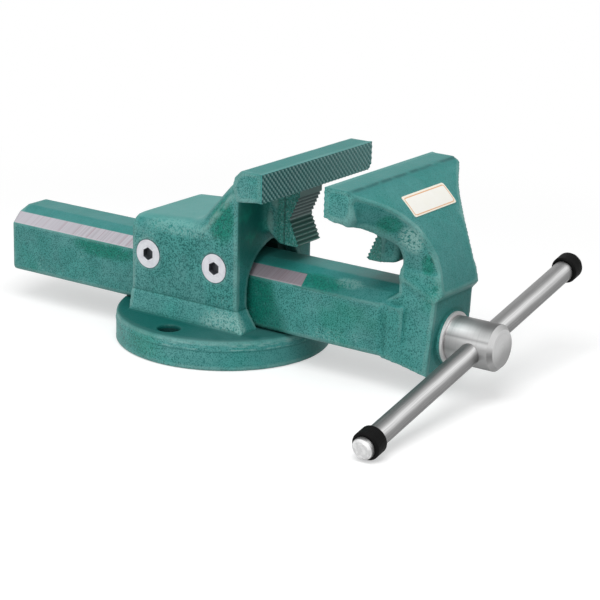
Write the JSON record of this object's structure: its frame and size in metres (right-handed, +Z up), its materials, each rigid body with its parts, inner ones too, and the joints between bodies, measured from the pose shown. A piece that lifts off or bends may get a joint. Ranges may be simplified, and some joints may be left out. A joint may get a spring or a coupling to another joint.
{
  "type": "bench vise",
  "caption": "Forged bench vise on a round bolt-down base, with a prismatic slide, knurled jaws, pipe jaws and a T-bar spindle.",
  "frame": {"origin": "centre of the round base on its underside, midway between the two holding-down holes", "axes": "+X along the slide from the fixed body towards the spindle head, +Y along the jaws, +Z up"},
  "size_m": [0.3661, 0.2485, 0.13],
  "materials": {
    "forging_paint": "hammertone paint, semi-gloss, over a forged surface",
    "phosphated_steel": "dark phosphated, hardened",
    "zinc_steel": "zinc plated, satin",
    "bright_steel": "ground bright",
    "turned_steel": "turned, fine circular marks",
    "polished_steel": "polished bar",
    "cast_gib": "machined",
    "black_bolt": "blackened",
    "bronze": "machined",
    "ring_rubber": "matt black",
    "label_foil": "plain foil without printing"
  },
  "bodies": {
    "root": {"fixed_body": "forging_paint", "pipe_jaw_fixed": "phosphated_steel", "pipe_jaw_pins_fixed": "bright_steel", "guide_gib_left": "cast_gib", "guide_gib_right": "cast_gib", "gib_screws_left": "zinc_steel", "gib_screws_right": "zinc_steel", "spindle_nut": "cast_gib", "nut_bolts": "black_bolt", "nut_bolt_washers": "zinc_steel"},
    "slide": {"moving_jaw": "forging_paint", "pipe_jaw_moving": "phosphated_steel", "pipe_jaw_pins_moving": "bright_steel", "blank_label": "label_foil", "spindle_bush": "bronze", "thrust_washer": "bright_steel"},
    "spindle": {"spindle": "turned_steel", "spring_washer": "bright_steel", "take_up_spring": "bright_steel", "retaining_collar": "bright_steel", "collar_pin": "bright_steel"},
    "handle": {"handle_bar": "polished_steel", "buffer_ring_near": "ring_rubber", "buffer_ring_far": "ring_rubber"}
  },
  "joints": [
    {"name": "jaw_slide", "type": "slide", "parent": "root", "child": "slide", "axis": [1, 0, 0], "range_m": [-0.0427, 0.107]},
    {"name": "spindle_turn", "type": "hinge", "parent": "slide", "child": "spindle", "pos_m": [0.19, 0, 0.0349], "axis": [1, 0, 0], "range_deg": [-3840, 9628]},
    {"name": "handle_slide", "type": "slide", "parent": "spindle", "child": "handle", "axis": [0, 0.9785, 0.2062], "range_m": [-0.0906, 0.1032]}
  ],
  "couplings": [
    {"joint": "jaw_slide", "follows": "spindle_turn", "m_per_rad": 0.00063662}
  ]
}
